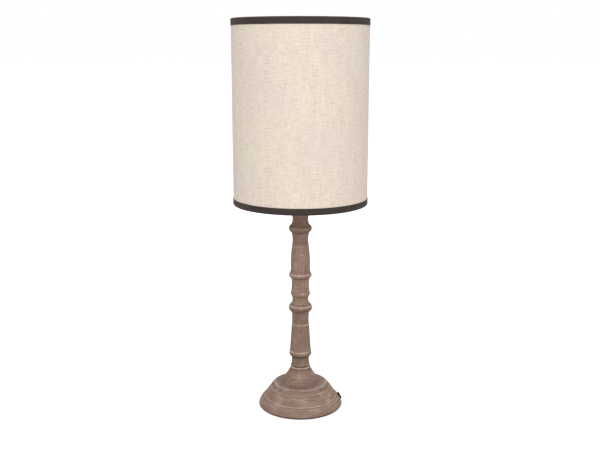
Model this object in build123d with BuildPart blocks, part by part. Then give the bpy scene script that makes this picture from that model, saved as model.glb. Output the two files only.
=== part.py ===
from build123d import *
import math
import os

# Candlestick table lamp: a turned wooden foot and column on a hollow threaded
# rod, an E27 push-bar lampholder, and a tall linen drum shade on a wire fitter.
# Millimetres, +Z up. The lamp's axis is the Z axis, and z = 0 is the table.

os.makedirs("parts", exist_ok=True)

# ---- driving dimensions ----
felt_thickness = 1.5
felt_radius = 63.2
foot_radius = 64.9              # the widest ring of the foot
foot_height = 63.2              # where the column sits down on the foot
column_top = 316.0
shade_radius = 100.0            # outside of the linen
shade_bottom = 320.0
shade_top = 590.0
fitter_height = 349.0           # underside of the shade's centre ring
bulb_radius = 30.0
bulb_length = 106.0

# threaded lamp rod (M10 x 1), its nuts and the bores round it
rod_radius = 5.0
rod_bore = 3.5
rod_bottom = 8.5
rod_top = 328.0
wood_bore = 5.5
washer_bore = 5.3
washer_thickness = 1.2
foot_washer_radius = 12.0
nut_across_flats = 14.0
nut_thickness = 4.0

# spigot that locates the column in the foot
spigot_radius = 10.0
spigot_length = 13.0
socket_depth = 13.5

# recess and cable channel under the foot
recess_radius = 22.0
recess_depth = 18.0
channel_width = 10.0
channel_depth = 8.0
channel_end = 49.0              # centre of the channel's round end

# cable bush, square to the slope of the foot's lowest ring
bush_azimuth = 5.0              # degrees behind +X
bush_tilt = 27.8                # degrees above level
bush_seat_radius = 61.0
bush_seat_height = 10.2
bush_bore = 3.0
bush_body_radius = 4.2
bush_body_length = 8.0
bush_flange_radius = 5.4
bush_flange_thickness = 2.4
bush_flange_round = 0.9
bush_hole_depth = 12.0
bush_spot_face = 4.8            # depth cut away for the flange's seat
bush_seat_clearance = 0.1

# lampholder
holder_base = column_top + washer_thickness + nut_thickness
seating_washer_radius = 15.0
cap_radius = 19.0
cap_neck_radius = 8.0
cap_neck_length = 6.0
cap_floor = 329.0               # inside bottom of the cap
cap_flare_depth = 2.0           # how far the flare is hollowed, outside and inside
cap_inner_flare_depth = 1.2
cap_shoulder = 335.5            # where the flare turns upright
core_bottom = 338.0
cap_top = 341.0
core_top = 346.0
core_radius = 16.5
core_ledge = 15.4
core_clearance = 0.1
wire_slot_offset = 12.0
wire_slot_length = 5.0
wire_slot_width = 2.0
skirt_radius = 19.6             # over the shade-ring thread
skirt_flange_radius = 22.5
skirt_flange_thickness = 3.0
skirt_mouth = 14.9
skirt_top = 372.0
thread_lead = 1.2
shell_radius = 14.2
shell_wall = 0.7
shell_height = 22.0
shell_floor_hole = 9.0
screw_radius = 1.5
screw_head_radius = 2.8
screw_head_height = 1.8
terminal_spacing = 9.5
terminal_screw_length = 4.5
terminal_hole_depth = 5.0
terminal_slot_width = 0.8
cap_screw_length = 4.6
cap_screw_slot_width = 0.5
driver_slot_depth = 0.8

# push bar of the switch
bar_height = 334.0
bar_radius = 2.0
bar_clearance = 0.08
bar_half_length = 27.5
bar_travel = 6.0
bar_tip_length = 5.0
bar_tip_radius = 3.6
bar_tip_round = 0.8

# shade rings, and the shade's centre ring between them
ring_flange_radius = 24.4
ring_collar_radius = 22.4
ring_flange_thickness = 2.0
upper_ring_height = 8.5
ring_running_gap = 0.15
ring_grips = 12
grip_radius = 1.2
grip_offset = 0.4               # centres of the grips, outside the collar
fitter_inner_radius = 21.0
fitter_outer_radius = 26.0
fitter_thickness = 1.5
arm_radius = 1.5
arm_count = 3
first_arm = 90.0                # degrees, towards the back of the lamp
arm_outer_run = 12.0            # nearly level run in from the wire ring
arm_inner_run = 8.0             # nearly level run out from the centre ring
arm_run_rise = 1.0
arm_bend_radius = 8.0
arm_weld = 0.8                  # how far an arm laps the centre ring's edge

# shade skin, edges and wires
linen_thickness = 0.5
lining_thickness = 0.45
lap_width = 12.0
lap_bond = 0.1                  # the lap sinks this far into the cloth below
trim_thickness = 0.6
trim_height = 10.0
trim_turn_in = 6.5
wire_radius = 1.7
wire_clearance = 0.05
nick_depth = 4.0
nick_clearance = 0.3            # each side of an arm

# bulb with an E27 cap
bulb_bottom = 347.6
eyelet_radius = 4.8
eyelet_height = 1.4
insulator_radius = 11.8
insulator_height = 3.5
bulb_cap_radius = 13.1
bulb_cap_height = 22.0
bulb_cap_wall = 0.5
glass_wall = 0.8
glass_clearance = 0.1           # cement gap inside the metal cap
glass_neck_depth = 18.0         # how far the neck reaches down into the cap
glass_shoulder = 0.6            # the glass steps out over the cap's rim
crown_drop = 4.0                # the round crown starts this far below the centre
crown_angle = 40.0              # degrees, a point halfway up the crown


def swell(start, end, height):
    """Arc going up a turned outline: above 0 it stands out, below 0 it is hollow."""
    return SagittaArc(start, end, -height)


def save(solid, label):
    solid.label = label
    export_step(solid, "parts/" + label + ".step")


# ======== the stand ========

# foot: outline points are (radius, height), going up
foot_edge = (foot_radius - 0.8, felt_thickness)
foot_widest = (foot_radius, felt_thickness + 0.8)
skirting_top = (59.2, 13.1)
ledge_inner = (56.8, 14.0)
dome_edge = (56.0, 15.8)
dome_top = (45.2, 31.6)
shoulder_edge = (43.3, 33.8)
shoulder_top = (30.7, 38.0)
rise_top = (15.6, 60.0)
groove_floor = (14.9, 60.8)
collar_foot = (15.5, 61.6)
collar_brow = (15.5, 62.6)
collar_seat = (14.9, foot_height)

bush_side = Plane.XY.rotated((0, 0, bush_azimuth))
tilt = math.radians(bush_tilt)
bush_point = bush_side.from_local_coords(Vector(bush_seat_radius, 0, bush_seat_height))
bush_outward = bush_side.from_local_coords(Vector(math.cos(tilt), 0, math.sin(tilt)))
bush_seat = Plane(origin=bush_point, z_dir=bush_outward)
bush_section = Plane(origin=bush_point, x_dir=bush_outward, z_dir=bush_side.y_dir)

with BuildPart() as foot:
    with BuildSketch(Plane.XZ):
        with BuildLine():
            underside = Line((0, felt_thickness), foot_edge)
            eased_edge = Line(underside @ 1, foot_widest)
            skirting = swell(eased_edge @ 1, skirting_top, 0.9)
            ledge = Line(skirting @ 1, ledge_inner)
            arris = Line(ledge @ 1, dome_edge)
            dome = swell(arris @ 1, dome_top, 0.2)
            step = Line(dome @ 1, shoulder_edge)
            shoulder = swell(step @ 1, shoulder_top, 1.5)
            rise = swell(shoulder @ 1, rise_top, -0.4)
            groove = Line(rise @ 1, groove_floor)
            collar_under = Line(groove @ 1, collar_foot)
            collar = Line(collar_under @ 1, collar_brow)
            collar_over = Line(collar @ 1, collar_seat)
            seat = Line(collar_over @ 1, (0, foot_height))
            Line(seat @ 1, underside @ 0)
        make_face()
    revolve(axis=Axis.Z)
    with BuildSketch(Plane.XY.offset(foot_height)):
        Circle(spigot_radius)
    extrude(amount=-socket_depth, mode=Mode.SUBTRACT)
    with BuildSketch(Plane.XY.offset(foot_height)):
        Circle(wood_bore)
    extrude(amount=-foot_height, mode=Mode.SUBTRACT)
    with BuildSketch(Plane.XY.offset(felt_thickness)):
        Circle(recess_radius)
    extrude(amount=recess_depth, mode=Mode.SUBTRACT)
    with BuildSketch(bush_side.offset(felt_thickness)):
        with Locations((channel_end / 2, 0)):
            SlotCenterToCenter(channel_end, channel_width)
    extrude(amount=channel_depth, mode=Mode.SUBTRACT)
    with BuildSketch(bush_seat):
        Circle(bush_body_radius)
    extrude(amount=-bush_hole_depth, mode=Mode.SUBTRACT)
    with BuildSketch(bush_seat):
        Circle(bush_flange_radius + bush_seat_clearance)
    extrude(amount=bush_spot_face, mode=Mode.SUBTRACT)
save(foot.part, "foot")

with BuildPart() as felt_pad:
    with BuildSketch(Plane.XY):
        Circle(felt_radius)
    extrude(amount=felt_thickness)
save(felt_pad.part, "felt_pad")

# cable bush: sketched along its own axis as (distance out of the seat, radius)
with BuildPart() as cable_bush:
    with BuildSketch(bush_section):
        with BuildLine():
            flange_back = Line((0, bush_body_radius), (0, bush_flange_radius))
            flange_rim = Line(
                flange_back @ 1,
                (bush_flange_thickness - bush_flange_round, bush_flange_radius),
            )
            flange_round = RadiusArc(
                flange_rim @ 1,
                (bush_flange_thickness, bush_flange_radius - bush_flange_round),
                bush_flange_round,
            )
            flange_front = Line(flange_round @ 1, (bush_flange_thickness, bush_bore))
            bore_wall = Line(flange_front @ 1, (-bush_body_length, bush_bore))
            tail = Line(bore_wall @ 1, (-bush_body_length, bush_body_radius))
            Line(tail @ 1, flange_back @ 0)
        make_face()
    revolve(axis=Axis(bush_point, bush_outward))
save(cable_bush.part, "cable_bush")

# column: one turning, from the spigot up to the flared capital, as (radius, height)
with BuildPart() as column:
    with BuildSketch(Plane.XZ):
        with BuildLine():
            spigot_end = foot_height - spigot_length
            spigot_base = Line((0, spigot_end), (spigot_radius, spigot_end))
            spigot = Line(spigot_base @ 1, (spigot_radius, foot_height))
            landing = Line(spigot @ 1, (14.4, foot_height))
            root = Line(landing @ 1, (14.3, 66.0))
            low_cove = swell(root @ 1, (13.9, 79.0), -0.75)
            # first bead, with a crisp upper edge and a taper above it
            low_bead = ThreePointArc(low_cove @ 1, (16.6, 81.8), (17.3, 85.0))
            low_bead_side = Line(low_bead @ 1, (17.1, 87.6))
            low_bead_edge = Line(low_bead_side @ 1, (16.4, 88.8))
            taper = swell(low_bead_edge @ 1, (13.6, 128.8), -0.15)
            scribed_ring = Line(taper @ 1, (13.7, 131.2))
            scribed_step = Line(scribed_ring @ 1, (13.0, 132.2))
            waist = swell(scribed_step @ 1, (13.2, 149.0), -0.4)
            # round bead
            mid_fillet = swell(waist @ 1, (15.3, 152.2), -0.3)
            mid_bead = ThreePointArc(mid_fillet @ 1, (18.1, 158.0), (16.0, 162.8))
            mid_cove = swell(mid_bead @ 1, (12.5, 168.8), -0.7)
            # grooved ring
            ring_cove = swell(mid_cove @ 1, (13.0, 176.0), -0.45)
            ring_under = Line(ring_cove @ 1, (14.2, 177.6))
            ring = swell(ring_under @ 1, (14.5, 181.0), 0.3)
            ring_waist = swell(ring @ 1, (13.8, 202.8), -0.8)
            # sharp bead that carries the long vase
            sharp_fillet = swell(ring_waist @ 1, (16.2, 206.2), -0.3)
            sharp_bead = swell(sharp_fillet @ 1, (17.5, 208.4), 0.3)
            sharp_edge = Line(sharp_bead @ 1, (17.3, 210.4))
            vase_flare = swell(sharp_edge @ 1, (14.7, 219.6), -0.6)
            vase_belly = swell(vase_flare @ 1, (14.2, 243.0), 0.3)
            vase_shoulder = swell(vase_belly @ 1, (12.0, 261.0), 0.1)
            vase_neck = swell(vase_shoulder @ 1, (13.3, 275.8), -0.5)
            # top bead, fillet and the flared capital
            top_bead = ThreePointArc(vase_neck @ 1, (17.2, 281.8), (15.3, 286.6))
            fillet_edge = Line(top_bead @ 1, (14.7, 288.0))
            fillet_top = Line(fillet_edge @ 1, (13.4, 289.6))
            neck = swell(fillet_top @ 1, (12.5, 301.0), -0.95)
            capital = swell(neck @ 1, (17.5, 312.0), -1.0)
            capital_edge = Line(capital @ 1, (17.5, column_top - 1.0))
            capital_ease = Line(capital_edge @ 1, (16.5, column_top))
            capital_top = Line(capital_ease @ 1, (0, column_top))
            Line(capital_top @ 1, spigot_base @ 0)
        make_face()
    revolve(axis=Axis.Z)
    with BuildSketch(Plane.XY.offset(column_top)):
        Circle(wood_bore)
    extrude(amount=spigot_end - column_top, mode=Mode.SUBTRACT)
save(column.part, "column")

# hollow threaded rod, which clamps foot and column together
with BuildPart() as threaded_rod:
    with BuildSketch(Plane.XY.offset(rod_bottom)):
        Circle(rod_radius)
        Circle(rod_bore, mode=Mode.SUBTRACT)
    extrude(amount=rod_top - rod_bottom)
    rod_ends = threaded_rod.edges().filter_by(GeomType.CIRCLE)
    chamfer(rod_ends.filter_by(lambda edge: edge.radius == rod_radius), 0.4)
save(threaded_rod.part, "threaded_rod")

recess_roof = felt_thickness + recess_depth
with BuildPart() as foot_washer:
    with BuildSketch(Plane.XY.offset(recess_roof)):
        Circle(foot_washer_radius)
        Circle(washer_bore, mode=Mode.SUBTRACT)
    extrude(amount=-washer_thickness)
save(foot_washer.part, "foot_washer")

with BuildPart() as foot_nut:
    with BuildSketch(Plane.XY.offset(recess_roof - washer_thickness)):
        RegularPolygon(nut_across_flats / 2, 6, major_radius=False)
        Circle(rod_radius, mode=Mode.SUBTRACT)
    extrude(amount=-nut_thickness)
save(foot_nut.part, "foot_nut")

with BuildPart() as seating_washer:
    with BuildSketch(Plane.XY.offset(column_top)):
        Circle(seating_washer_radius)
        Circle(washer_bore, mode=Mode.SUBTRACT)
    extrude(amount=washer_thickness)
save(seating_washer.part, "seating_washer")

with BuildPart() as lock_nut:
    with BuildSketch(Plane.XY.offset(column_top + washer_thickness)):
        RegularPolygon(nut_across_flats / 2, 6, major_radius=False)
        Circle(rod_radius, mode=Mode.SUBTRACT)
    extrude(amount=nut_thickness)
save(lock_nut.part, "lock_nut")

# ======== the lampholder ========

cap_neck_top = holder_base + cap_neck_length
cap_screw_height = holder_base + cap_neck_length / 2
core_seat_radius = core_radius + core_clearance
with BuildPart() as holder_cap:
    with BuildSketch(Plane.XZ):
        with BuildLine():
            neck_base = Line((rod_radius, holder_base), (cap_neck_radius, holder_base))
            neck_side = Line(neck_base @ 1, (cap_neck_radius, cap_neck_top))
            flare = SagittaArc(neck_side @ 1, (cap_radius, cap_shoulder), -cap_flare_depth)
            cap_side = Line(flare @ 1, (cap_radius, cap_top))
            cap_rim = Line(cap_side @ 1, (core_seat_radius, cap_top))
            core_seat_side = Line(cap_rim @ 1, (core_seat_radius, core_bottom))
            core_seat = Line(core_seat_side @ 1, (core_ledge, core_bottom))
            inner_side = Line(core_seat @ 1, (core_ledge, cap_shoulder))
            inner_flare = SagittaArc(inner_side @ 1, (cap_neck_radius, cap_floor), cap_inner_flare_depth)
            inner_floor = Line(inner_flare @ 1, (rod_radius, cap_floor))
            Line(inner_floor @ 1, neck_base @ 0)
        make_face()
    revolve(axis=Axis.Z)
    with BuildSketch(Plane.YZ.offset(-cap_radius - 1)):
        with Locations((0, bar_height)):
            Circle(bar_radius + bar_clearance)
    extrude(amount=2 * cap_radius + 2, mode=Mode.SUBTRACT)
    with BuildSketch(Plane.XZ):
        with Locations((0, cap_screw_height)):
            Circle(screw_radius)
    extrude(amount=cap_neck_radius + 1, mode=Mode.SUBTRACT)
save(holder_cap.part, "holder_cap")

# grub screw that locks the cap on the rod, at the front of the neck
with BuildPart() as cap_screw:
    with BuildSketch(Plane.XZ.offset(rod_radius)):
        with Locations((0, cap_screw_height)):
            Circle(screw_radius)
    extrude(amount=cap_screw_length)
    with BuildSketch(Plane.XZ.offset(rod_radius + cap_screw_length)):
        with Locations((0, cap_screw_height)):
            Rectangle(2 * screw_radius, cap_screw_slot_width)
    extrude(amount=-driver_slot_depth, mode=Mode.SUBTRACT)
save(cap_screw.part, "cap_screw")

# insulating core, held between the cap's ledge and the skirt's shoulder
with BuildPart() as holder_core:
    with BuildSketch(Plane.XY.offset(core_bottom)):
        Circle(core_radius)
    extrude(amount=core_top - core_bottom)
    with BuildSketch(Plane.XY.offset(core_bottom)):
        with Locations((0, -terminal_spacing), (0, terminal_spacing)):
            Circle(screw_radius)
    extrude(amount=terminal_hole_depth, mode=Mode.SUBTRACT)
    with BuildSketch(Plane.XY.offset(core_top)):
        with Locations((-wire_slot_offset, 0), (wire_slot_offset, 0)):
            SlotOverall(wire_slot_length, wire_slot_width, rotation=90)
    extrude(amount=core_bottom - core_top, mode=Mode.SUBTRACT)
save(holder_core.part, "holder_core")

with BuildPart() as terminal_screws:
    with BuildSketch(Plane.XY.offset(core_bottom)):
        with Locations((0, -terminal_spacing), (0, terminal_spacing)):
            Circle(screw_head_radius)
    extrude(amount=-screw_head_height)
    with BuildSketch(Plane.XY.offset(core_bottom)):
        with Locations((0, -terminal_spacing), (0, terminal_spacing)):
            Circle(screw_radius)
    extrude(amount=terminal_screw_length)
    with BuildSketch(Plane.XY.offset(core_bottom - screw_head_height)):
        with Locations((0, -terminal_spacing), (0, terminal_spacing)):
            Rectangle(2 * screw_head_radius, terminal_slot_width)
    extrude(amount=driver_slot_depth, mode=Mode.SUBTRACT)
save(terminal_screws.part, "terminal_screws")

# outer skirt: the shade rings screw on its outside
with BuildPart() as holder_skirt:
    with BuildSketch(Plane.XZ):
        with BuildLine():
            flange_base = core_top - skirt_flange_thickness
            skirt_base = Line((core_seat_radius, cap_top), (skirt_radius, cap_top))
            below_flange = Line(skirt_base @ 1, (skirt_radius, flange_base))
            flange_under = Line(below_flange @ 1, (skirt_flange_radius, flange_base))
            flange_side = Line(flange_under @ 1, (skirt_flange_radius, core_top))
            flange_over = Line(flange_side @ 1, (skirt_radius, core_top))
            thread_side = Line(flange_over @ 1, (skirt_radius, skirt_top - thread_lead))
            thread_end = Line(thread_side @ 1, (skirt_radius - thread_lead, skirt_top))
            mouth_rim = Line(thread_end @ 1, (skirt_mouth, skirt_top))
            mouth = Line(mouth_rim @ 1, (skirt_mouth, core_top))
            core_stop = Line(mouth @ 1, (core_seat_radius, core_top))
            Line(core_stop @ 1, skirt_base @ 0)
        make_face()
    revolve(axis=Axis.Z)
save(holder_skirt.part, "holder_skirt")

with BuildPart() as screw_shell:
    with BuildSketch(Plane.XY.offset(core_top)):
        Circle(shell_radius)
    extrude(amount=shell_height)
    with BuildSketch(Plane.XY.offset(core_top + shell_wall)):
        Circle(shell_radius - shell_wall)
    extrude(amount=shell_height, mode=Mode.SUBTRACT)
    with BuildSketch(Plane.XY.offset(core_top)):
        Circle(shell_floor_hole)
    extrude(amount=shell_wall, mode=Mode.SUBTRACT)
save(screw_shell.part, "screw_shell")

# sprung centre contact: a flat strip with its tongue bowed up to the bulb
tongue_thickness = 0.5
tongue_half_length = 7.0
tongue_half_width = 2.5
with BuildPart() as centre_contact:
    with BuildSketch(Plane.XZ.offset(-tongue_half_width)):
        with BuildLine():
            strip_top = core_top + tongue_thickness
            strip_base = Line((-tongue_half_length, core_top), (tongue_half_length, core_top))
            right_end = Line(strip_base @ 1, (tongue_half_length, strip_top))
            right_strip = Line(right_end @ 1, (4.0, strip_top))
            tongue = ThreePointArc(right_strip @ 1, (0, bulb_bottom), (-4.0, strip_top))
            left_strip = Line(tongue @ 1, (-tongue_half_length, strip_top))
            Line(left_strip @ 1, strip_base @ 0)
        make_face()
    extrude(amount=2 * tongue_half_width)
save(centre_contact.part, "centre_contact")

# push bar of the switch, shown pushed over towards -X
bar_start = -bar_half_length - bar_travel / 2
bar_length = 2 * bar_half_length
with BuildPart() as switch_bar:
    with BuildSketch(Plane.YZ.offset(bar_start + bar_tip_length)):
        with Locations((0, bar_height)):
            Circle(bar_radius)
    extrude(amount=bar_length - 2 * bar_tip_length)
save(switch_bar.part, "switch_bar")

with BuildPart() as switch_tips:
    for tip_start in (bar_start, bar_start + bar_length - bar_tip_length):
        with BuildSketch(Plane.YZ.offset(tip_start)):
            with Locations((0, bar_height)):
                Circle(bar_tip_radius)
        extrude(amount=bar_tip_length)
    fillet(switch_tips.edges().filter_by(GeomType.CIRCLE), bar_tip_round)
save(switch_tips.part, "switch_tips")

# ======== the shade rings ========

ring_seat = fitter_height - ring_flange_thickness
with BuildPart() as lower_shade_ring:
    with BuildSketch(Plane.XY.offset(core_top)):
        Circle(ring_collar_radius)
    extrude(amount=ring_seat - core_top)
    with BuildSketch(Plane.XY.offset(ring_seat)):
        Circle(ring_flange_radius)
    extrude(amount=ring_flange_thickness)
    with BuildSketch(Plane.XY.offset(core_top)):
        Circle(skirt_radius)
    extrude(amount=fitter_height - core_top, mode=Mode.SUBTRACT)
save(lower_shade_ring.part, "lower_shade_ring")

fitter_top = fitter_height + fitter_thickness
with BuildPart() as upper_shade_ring:
    with BuildSketch(Plane.XY.offset(fitter_top)):
        Circle(ring_flange_radius)
    extrude(amount=ring_flange_thickness)
    with BuildSketch(Plane.XY.offset(fitter_top)):
        Circle(ring_collar_radius)
    extrude(amount=upper_ring_height)
    with BuildSketch(Plane.XY.offset(fitter_top)):
        Circle(skirt_radius + ring_running_gap)
    extrude(amount=upper_ring_height, mode=Mode.SUBTRACT)
    with BuildSketch(Plane.XY.offset(fitter_top + ring_flange_thickness)):
        with PolarLocations(ring_collar_radius + grip_offset, ring_grips):
            Circle(grip_radius)
    extrude(amount=upper_ring_height, mode=Mode.SUBTRACT)
save(upper_shade_ring.part, "upper_shade_ring")

# ======== the shade ========

skin_bottom = shade_bottom + trim_thickness
skin_top = shade_top - trim_thickness
skin_height = skin_top - skin_bottom
lining_outer = shade_radius - linen_thickness
lining_inner = lining_outer - lining_thickness
wire_ring_radius = lining_inner - wire_clearance - wire_radius
trim_outer = shade_radius + trim_thickness
trim_inner = wire_ring_radius - wire_radius - trim_thickness

# linen, glued round the lining, with its lapped joint at the back
with BuildPart() as shade_linen:
    with BuildSketch(Plane.XY.offset(skin_bottom)):
        Circle(shade_radius)
        Circle(lining_outer, mode=Mode.SUBTRACT)
    extrude(amount=skin_height)
    lap_bottom = shade_bottom + trim_height
    lap_radius = shade_radius + linen_thickness
    lap_angle = math.degrees(lap_width / shade_radius)
    lap_start = 90 - lap_angle / 2
    with BuildSketch(Plane.XY.offset(lap_bottom)):
        with BuildLine():
            lap_inside = CenterArc((0, 0), shade_radius - lap_bond, lap_start, lap_angle)
            lap_outside = CenterArc((0, 0), lap_radius, lap_start, lap_angle)
            Line(lap_inside @ 0, lap_outside @ 0)
            Line(lap_inside @ 1, lap_outside @ 1)
        make_face()
    extrude(amount=shade_top - trim_height - lap_bottom)
save(shade_linen.part, "shade_linen")

with BuildPart() as shade_lining:
    with BuildSketch(Plane.XY.offset(skin_bottom)):
        Circle(lining_outer)
        Circle(lining_inner, mode=Mode.SUBTRACT)
    extrude(amount=skin_height)
save(shade_lining.part, "shade_lining")

with BuildPart() as top_wire_ring:
    with BuildSketch(Plane.XZ):
        with Locations((wire_ring_radius, skin_top - wire_radius)):
            Circle(wire_radius)
    revolve(axis=Axis.Z)
save(top_wire_ring.part, "top_wire_ring")

# fitter: bottom wire ring, centre ring and the sloping arms between, welded up
ring_line = skin_bottom + wire_radius
arm_line = fitter_height + fitter_thickness / 2
with BuildPart() as shade_fitter:
    with BuildSketch(Plane.XZ):
        with Locations((wire_ring_radius, ring_line)):
            Circle(wire_radius)
    revolve(axis=Axis.Z)
    with BuildSketch(Plane.XY.offset(fitter_height)):
        Circle(fitter_outer_radius)
        Circle(fitter_inner_radius, mode=Mode.SUBTRACT)
    extrude(amount=fitter_thickness)
    for index in range(arm_count):
        arm_side = Plane.XZ.rotated((0, 0, first_arm + index * 360 / arm_count))
        with BuildLine(arm_side) as arm_path:
            FilletPolyline(
                (wire_ring_radius, ring_line),
                (wire_ring_radius - arm_outer_run, ring_line + arm_run_rise),
                (fitter_outer_radius + arm_inner_run, arm_line - arm_run_rise),
                (fitter_outer_radius - arm_weld, arm_line),
                radius=arm_bend_radius,
            )
        with BuildSketch(Plane(origin=arm_path.line @ 0, z_dir=arm_path.line % 0)):
            Circle(arm_radius)
        sweep(path=arm_path.line)
save(shade_fitter.part, "shade_fitter")

# dark ribbon folded over each edge of the shade
with BuildPart() as trim_bottom:
    with BuildSketch(Plane.XZ):
        with BuildLine():
            Polyline(
                (shade_radius, skin_bottom),
                (shade_radius, shade_bottom + trim_height),
                (trim_outer, shade_bottom + trim_height),
                (trim_outer, shade_bottom),
                (trim_inner, shade_bottom),
                (trim_inner, shade_bottom + trim_turn_in),
                (trim_inner + trim_thickness, shade_bottom + trim_turn_in),
                (trim_inner + trim_thickness, skin_bottom),
                close=True,
            )
        make_face()
    revolve(axis=Axis.Z)
    # the ribbon is nicked where each arm comes through its inner fold
    with BuildSketch(Plane.XY.offset(skin_bottom)):
        with PolarLocations(trim_inner, arm_count, start_angle=first_arm):
            Rectangle(nick_depth, 2 * (arm_radius + nick_clearance))
    extrude(amount=trim_turn_in, mode=Mode.SUBTRACT)
save(trim_bottom.part, "trim_bottom")

with BuildPart() as trim_top:
    with BuildSketch(Plane.XZ):
        with BuildLine():
            Polyline(
                (shade_radius, skin_top),
                (shade_radius, shade_top - trim_height),
                (trim_outer, shade_top - trim_height),
                (trim_outer, shade_top),
                (trim_inner, shade_top),
                (trim_inner, shade_top - trim_turn_in),
                (trim_inner + trim_thickness, shade_top - trim_turn_in),
                (trim_inner + trim_thickness, skin_top),
                close=True,
            )
        make_face()
    revolve(axis=Axis.Z)
save(trim_top.part, "trim_top")

# ======== the bulb ========

insulator_base = bulb_bottom + eyelet_height
bulb_cap_base = insulator_base + insulator_height
bulb_cap_top = bulb_cap_base + bulb_cap_height
bulb_top = bulb_bottom + bulb_length
globe_centre = bulb_top - bulb_radius
cap_inside = bulb_cap_radius - bulb_cap_wall

with BuildPart() as bulb_eyelet:
    with BuildSketch(Plane.XY.offset(bulb_bottom)):
        Circle(eyelet_radius)
    extrude(amount=eyelet_height)
    fillet(bulb_eyelet.faces().sort_by(Axis.Z)[0].edges(), 0.8)
save(bulb_eyelet.part, "bulb_eyelet")

with BuildPart() as bulb_insulator:
    with BuildSketch(Plane.XZ):
        with BuildLine():
            cone_base = Line((0, insulator_base), (eyelet_radius + 0.6, insulator_base))
            cone = SagittaArc(cone_base @ 1, (insulator_radius, bulb_cap_base), 0.4)
            cone_top = Line(cone @ 1, (0, bulb_cap_base))
            Line(cone_top @ 1, cone_base @ 0)
        make_face()
    revolve(axis=Axis.Z)
save(bulb_insulator.part, "bulb_insulator")

with BuildPart() as bulb_cap:
    with BuildSketch(Plane.XY.offset(bulb_cap_base)):
        Circle(bulb_cap_radius)
    extrude(amount=bulb_cap_height)
    chamfer(bulb_cap.faces().sort_by(Axis.Z)[0].edges(), bulb_cap_wall / 2)
    with BuildSketch(Plane.XY.offset(bulb_cap_base + bulb_cap_wall)):
        Circle(cap_inside)
    extrude(amount=bulb_cap_height, mode=Mode.SUBTRACT)
save(bulb_cap.part, "bulb_cap")

# glass: open-ended neck inside the cap, shoulder, swelling and round crown
neck_outside = cap_inside - glass_clearance
neck_inside = neck_outside - glass_wall
neck_end = bulb_cap_top - glass_neck_depth
neck_flare = 0.12               # slope of the glass where it leaves the cap
inner_radius = bulb_radius - glass_wall
crown_join = globe_centre - crown_drop
outer_join = math.sqrt(bulb_radius**2 - crown_drop**2)
inner_join = math.sqrt(inner_radius**2 - crown_drop**2)
join_slope = (crown_drop / outer_join, 1)


def crown_point(radius):
    """Point on the outline of the crown, at crown_angle above the globe's centre."""
    angle = math.radians(crown_angle)
    return (radius * math.cos(angle), globe_centre + radius * math.sin(angle))


with BuildPart() as bulb_glass:
    with BuildSketch(Plane.XZ):
        with BuildLine():
            neck_mouth = Line((neck_inside, neck_end), (neck_outside, neck_end))
            neck_wall = Line(neck_mouth @ 1, (neck_outside, bulb_cap_top))
            shoulder_step = Line(neck_wall @ 1, (bulb_cap_radius + glass_shoulder, bulb_cap_top))
            outer_swell = Spline(
                shoulder_step @ 1,
                (outer_join, crown_join),
                tangents=((neck_flare, 1), join_slope),
            )
            outer_crown = ThreePointArc(outer_swell @ 1, crown_point(bulb_radius), (0, bulb_top))
            pole = Line(outer_crown @ 1, (0, bulb_top - glass_wall))
            inner_crown = ThreePointArc(pole @ 1, crown_point(inner_radius), (inner_join, crown_join))
            inner_swell = Spline(
                inner_crown @ 1,
                (neck_inside, bulb_cap_top + glass_wall),
                tangents=((-join_slope[0], -1), (-neck_flare, -1)),
            )
            Line(inner_swell @ 1, neck_mouth @ 0)
        make_face()
    revolve(axis=Axis.Z)
save(bulb_glass.part, "bulb_glass")
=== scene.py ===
import math
import random

import bpy
from mathutils import Matrix, Vector, kdtree, noise


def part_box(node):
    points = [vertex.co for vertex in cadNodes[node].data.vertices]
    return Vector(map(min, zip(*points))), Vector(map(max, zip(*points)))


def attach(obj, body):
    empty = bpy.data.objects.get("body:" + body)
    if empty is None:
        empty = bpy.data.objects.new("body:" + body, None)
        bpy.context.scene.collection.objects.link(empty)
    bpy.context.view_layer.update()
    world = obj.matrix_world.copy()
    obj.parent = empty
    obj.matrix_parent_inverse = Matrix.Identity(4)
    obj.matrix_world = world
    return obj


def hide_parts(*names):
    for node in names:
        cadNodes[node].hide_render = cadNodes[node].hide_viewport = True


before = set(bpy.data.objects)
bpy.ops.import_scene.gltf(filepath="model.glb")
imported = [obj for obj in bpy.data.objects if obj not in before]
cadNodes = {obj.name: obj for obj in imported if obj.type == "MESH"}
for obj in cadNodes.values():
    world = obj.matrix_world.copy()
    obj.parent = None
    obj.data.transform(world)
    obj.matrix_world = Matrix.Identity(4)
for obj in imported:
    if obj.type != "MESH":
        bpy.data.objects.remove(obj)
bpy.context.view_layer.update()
mm = 0.001
fullTurn = 2 * math.pi
white = (1.0, 1.0, 1.0)


# camera, floor and light

photoView = {
    "place": (-0.0006, -1.2736, 0.55115),
    "tilt": 78.2585,  # degrees from straight down
    "lens": 51.711,
    "sensor": 36.0,
    "nearest": 0.01,
}
studio = {
    "floorSize": 60.0,
    "floorTone": 0.92,  # as the camera sees it
    "floorGlow": 0.42,  # lifts it to the white of the backdrop
    "floorBounce": 0.7,  # how much light it throws back up
    "aim": (0, 0, 0.3),
    "keyPlace": (-0.25, -1.9, 1.75),
    "keyPower": 23.0,
    "fillPlace": (0.9, -1.6, 0.7),
    "fillPower": 5.0,
    "backPlace": (0.3, 1.9, 1.5),
    "backPower": 11.0,
    "lightSize": (1.5, 1.2),
    "sideLevel": 0.42,  # how bright the room is level with the lamp
    "topLevel": 0.86,  # and overhead
    "sideTint": (1.25, 1.12, 1.1),  # light from the left and right, against 1 from the front
}

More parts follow.
